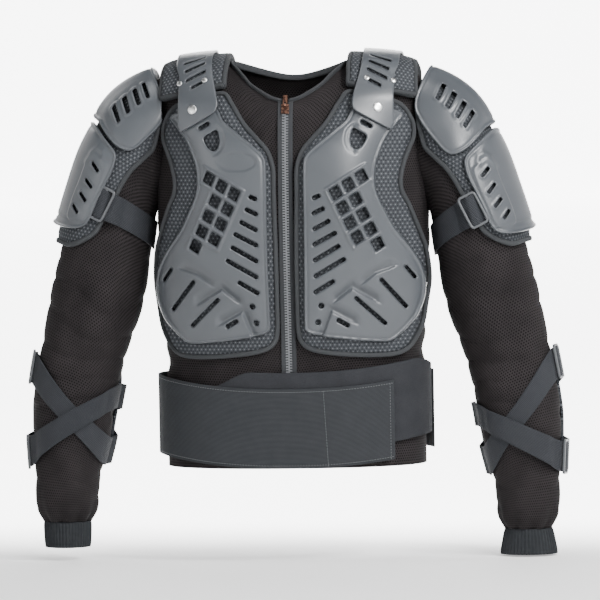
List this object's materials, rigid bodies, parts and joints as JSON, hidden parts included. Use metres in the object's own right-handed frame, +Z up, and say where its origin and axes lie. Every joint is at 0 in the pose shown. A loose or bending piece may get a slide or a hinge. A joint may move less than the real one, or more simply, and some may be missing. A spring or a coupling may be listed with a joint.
{
  "type": "armoured motorcycle chest protector jacket",
  "caption": "Mesh body armour jacket with hard chest, shoulder and arm plates, strapped sleeves, front zip and wide kidney belt, in the form it has when worn.",
  "frame": {"origin": "on the shoulder line, midway between the shoulder pads, where the shoulders carry the jacket", "axes": "+Z up, -Y the way the wearer faces, +X the wearer's left"},
  "size_m": [0.7177, 0.2358, 0.6704],
  "materials": {
    "mesh_cloth": "open knitted mesh, near black",
    "binding": "woven edge binding, dark grey",
    "spacer": "padded spacer mesh, dark blue grey",
    "plate": "satin moulded polyethylene, charcoal",
    "elastic": "woven elastic webbing, slate",
    "pile": "brushed loop pile, black",
    "rib": "ribbed knit, dark grey",
    "buckle": "satin moulded acetal, dark grey",
    "rivet": "polished rivet head",
    "zip_tape": "woven zip tape",
    "zip_teeth": "moulded zip teeth",
    "copper": "antique copper plated zinc"
  },
  "bodies": {
    "jacket": {"arm_binding_left": "binding", "arm_binding_right": "binding", "arm_buckle_left": "buckle", "arm_buckle_right": "buckle", "arm_pad_left": "spacer", "arm_pad_right": "spacer", "arm_plate_left": "plate", "arm_plate_right": "plate", "arm_strap_left": "elastic", "arm_strap_right": "elastic", "chest_binding_left": "binding", "chest_binding_right": "binding", "chest_pad_left": "spacer", "chest_pad_right": "spacer", "chest_plate_left": "plate", "chest_plate_right": "plate", "cuff_left": "rib", "cuff_right": "rib", "elbow_pad_left": "spacer", "elbow_pad_right": "spacer", "forearm_buckle_lower_left": "buckle", "forearm_buckle_lower_right": "buckle", "forearm_buckle_upper_left": "buckle", "forearm_buckle_upper_right": "buckle", "forearm_strap_lower_left": "elastic", "forearm_strap_lower_right": "elastic", "forearm_strap_upper_left": "elastic", "forearm_strap_upper_right": "elastic", "kidney_belt": "elastic", "shoulder_binding_left": "binding", "shoulder_binding_right": "binding", "shoulder_cap_left": "plate", "shoulder_cap_right": "plate", "shoulder_pad_left": "spacer", "shoulder_pad_right": "spacer", "sleeve_left": "mesh_cloth", "sleeve_right": "mesh_cloth", "strap_plate_left": "plate", "strap_plate_right": "plate", "strap_rivet_left": "rivet", "strap_rivet_right": "rivet", "strap_stud_inner_left": "buckle", "strap_stud_inner_right": "buckle", "strap_stud_outer_left": "buckle", "strap_stud_outer_right": "buckle", "torso_shell": "mesh_cloth", "under_belt": "pile", "zip_chain": "zip_teeth", "zip_slider": "copper", "zip_tape_left": "zip_tape", "zip_tape_right": "zip_tape"},
    "zip_pull": {"zip_pull": "copper"}
  },
  "joints": [
    {"name": "zip_pull_hinge", "type": "hinge", "parent": "jacket", "child": "zip_pull", "pos_m": [0, -0.09824, -0.05415], "axis": [1, 0, 0], "range_deg": [0, 150]}
  ]
}
